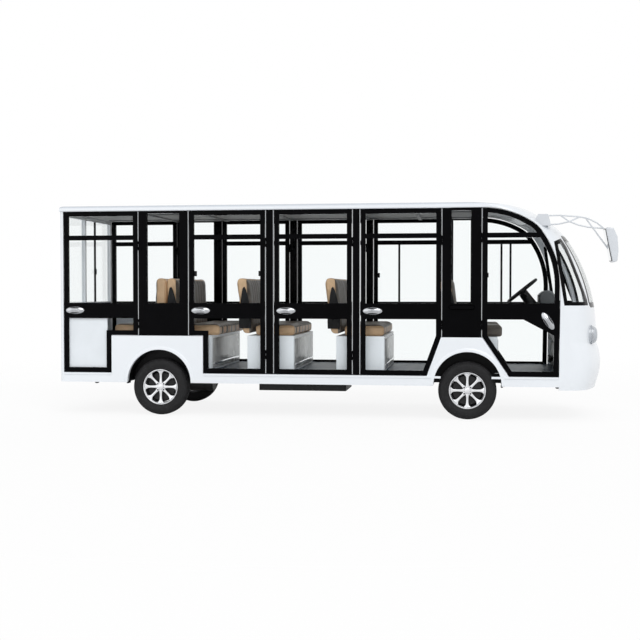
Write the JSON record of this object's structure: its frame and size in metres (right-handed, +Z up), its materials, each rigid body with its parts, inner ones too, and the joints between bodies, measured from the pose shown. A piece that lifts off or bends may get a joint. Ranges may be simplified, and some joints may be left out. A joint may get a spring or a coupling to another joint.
{
  "type": "electric sightseeing bus",
  "caption": "Enclosed electric sightseeing bus with hinged side doors, bench seats, steered front wheels, a curved nose and a mirror on an openwork arm.",
  "frame": {"origin": "on the ground under the middle of the whole bus, mirrors included", "axes": "+X forward, +Y to the left, +Z up"},
  "size_m": [5.4721, 1.548, 2.09],
  "materials": {
    "alloy": "bright machined",
    "base_white": "satin white",
    "black_frame": "gloss black paint",
    "black_plastic": "grained",
    "cast_metal": "painted",
    "chassis_black": "satin black paint",
    "clear_glass": "clear",
    "floor_vinyl": "matt blue-grey",
    "grey_plastic": "grained",
    "lamp_lens": "clear lens",
    "mirror_white": "gloss",
    "tail_lens": "red lens",
    "tan_leather": "soft grain",
    "tyre_rubber": "matt",
    "white_body": "gloss white paint"
  },
  "bodies": {
    "body": {"battery_box": "chassis_black", "bench_backs": "tan_leather", "bench_cushions": "tan_leather", "chassis_rails": "chassis_black", "cross_members": "chassis_black", "dashboard": "grey_plastic", "fixed_glass": "clear_glass", "floor": "floor_vinyl", "front_axle": "cast_metal", "front_seats": "tan_leather", "headlights": "lamp_lens", "headliner": "grey_plastic", "leaf_springs": "chassis_black", "mirror_arms": "mirror_white", "mirror_heads": "mirror_white", "nose_body": "white_body", "rear_axle": "cast_metal", "rear_body": "white_body", "roof": "white_body", "seat_bases": "base_white", "side_frames": "black_frame", "side_skirts": "white_body", "steering_column": "black_plastic", "tail_lights": "tail_lens", "tow_eyes": "cast_metal", "wheel_houses": "black_plastic", "windscreen": "clear_glass"},
    "door_1_right": {"door_1_right": "black_frame", "door_1_glass_right": "clear_glass"},
    "door_1_left": {"door_1_left": "black_frame", "door_1_glass_left": "clear_glass"},
    "door_2_right": {"door_2_right": "black_frame", "door_2_glass_right": "clear_glass"},
    "door_2_left": {"door_2_left": "black_frame", "door_2_glass_left": "clear_glass"},
    "door_3_right": {"door_3_right": "black_frame", "door_3_glass_right": "clear_glass"},
    "door_3_left": {"door_3_left": "black_frame", "door_3_glass_left": "clear_glass"},
    "door_4_right": {"door_4_right": "black_frame", "door_4_glass_right": "clear_glass"},
    "door_4_left": {"door_4_left": "black_frame", "door_4_glass_left": "clear_glass"},
    "front_door_right": {"front_door_right": "black_frame", "front_door_glass_right": "clear_glass"},
    "front_door_left": {"front_door_left": "black_frame", "front_door_glass_left": "clear_glass"},
    "knuckle_right": {"knuckle_right": "cast_metal"},
    "knuckle_left": {"knuckle_left": "cast_metal"},
    "wheel_rear_right": {"tyre_rear_right": "tyre_rubber", "rim_rear_right": "alloy"},
    "wheel_rear_left": {"tyre_rear_left": "tyre_rubber", "rim_rear_left": "alloy"},
    "wheel_front_right": {"tyre_front_right": "tyre_rubber", "rim_front_right": "alloy"},
    "wheel_front_left": {"tyre_front_left": "tyre_rubber", "rim_front_left": "alloy"},
    "tie_rod": {"tie_rod": "cast_metal"},
    "steering_wheel": {"steering_wheel": "black_plastic"}
  },
  "joints": [
    {"name": "door_1_right_hinge", "type": "hinge", "parent": "body", "child": "door_1_right", "pos_m": [-1.921, -0.76, 1.2], "axis": [0, 0, 1], "range_deg": [0, 80]},
    {"name": "door_1_left_hinge", "type": "hinge", "parent": "body", "child": "door_1_left", "pos_m": [-1.921, 0.76, 1.2], "axis": [0, 0, -1], "range_deg": [0, 80]},
    {"name": "door_2_right_hinge", "type": "hinge", "parent": "body", "child": "door_2_right", "pos_m": [-0.631, -0.76, 1.2], "axis": [0, 0, 1], "range_deg": [0, 80]},
    {"name": "door_2_left_hinge", "type": "hinge", "parent": "body", "child": "door_2_left", "pos_m": [-0.631, 0.76, 1.2], "axis": [0, 0, -1], "range_deg": [0, 80]},
    {"name": "door_3_right_hinge", "type": "hinge", "parent": "body", "child": "door_3_right", "pos_m": [0.224, -0.76, 1.2], "axis": [0, 0, 1], "range_deg": [0, 80]},
    {"name": "door_3_left_hinge", "type": "hinge", "parent": "body", "child": "door_3_left", "pos_m": [0.224, 0.76, 1.2], "axis": [0, 0, -1], "range_deg": [0, 80]},
    {"name": "door_4_right_hinge", "type": "hinge", "parent": "body", "child": "door_4_right", "pos_m": [1.085, -0.76, 1.2], "axis": [0, 0, 1], "range_deg": [0, 80]},
    {"name": "door_4_left_hinge", "type": "hinge", "parent": "body", "child": "door_4_left", "pos_m": [1.085, 0.76, 1.2], "axis": [0, 0, -1], "range_deg": [0, 80]},
    {"name": "front_door_right_hinge", "type": "hinge", "parent": "body", "child": "front_door_right", "pos_m": [1.474, -0.76, 1.2], "axis": [0, 0, -1], "range_deg": [0, 80]},
    {"name": "front_door_left_hinge", "type": "hinge", "parent": "body", "child": "front_door_left", "pos_m": [1.474, 0.76, 1.2], "axis": [0, 0, 1], "range_deg": [0, 80]},
    {"name": "knuckle_left_steer", "type": "hinge", "parent": "body", "child": "knuckle_left", "pos_m": [1.336, 0.596, 0.2805], "axis": [0, 0, 1], "range_deg": [-30, 30]},
    {"name": "knuckle_right_steer", "type": "hinge", "parent": "body", "child": "knuckle_right", "pos_m": [1.336, -0.596, 0.2805], "axis": [0, 0, 1], "range_deg": [-30, 30]},
    {"name": "tie_rod_pivot", "type": "hinge", "parent": "knuckle_left", "child": "tie_rod", "pos_m": [1.228, 0.596, 0.2255], "axis": [0, 0, 1], "range_deg": [-30, 30]},
    {"name": "steering_wheel_turn", "type": "hinge", "parent": "body", "child": "steering_wheel", "pos_m": [1.905, 0.35, 1.244], "axis": [-0.6293, 0, 0.7771], "range_deg": [-450, 450]},
    {"name": "wheel_rear_right_spin", "type": "hinge", "parent": "body", "child": "wheel_rear_right", "pos_m": [-1.707, -0.64, 0.2805], "axis": [0, 1, 0], "continuous": true},
    {"name": "wheel_rear_left_spin", "type": "hinge", "parent": "body", "child": "wheel_rear_left", "pos_m": [-1.707, 0.64, 0.2805], "axis": [0, 1, 0], "continuous": true},
    {"name": "wheel_front_right_spin", "type": "hinge", "parent": "knuckle_right", "child": "wheel_front_right", "pos_m": [1.336, -0.64, 0.2805], "axis": [0, 1, 0], "continuous": true},
    {"name": "wheel_front_left_spin", "type": "hinge", "parent": "knuckle_left", "child": "wheel_front_left", "pos_m": [1.336, 0.64, 0.2805], "axis": [0, 1, 0], "continuous": true}
  ],
  "couplings": [
    {"joint": "knuckle_right_steer", "follows": "knuckle_left_steer", "ratio": 1},
    {"joint": "tie_rod_pivot", "follows": "knuckle_left_steer", "ratio": -1},
    {"joint": "steering_wheel_turn", "follows": "knuckle_left_steer", "ratio": 15}
  ]
}
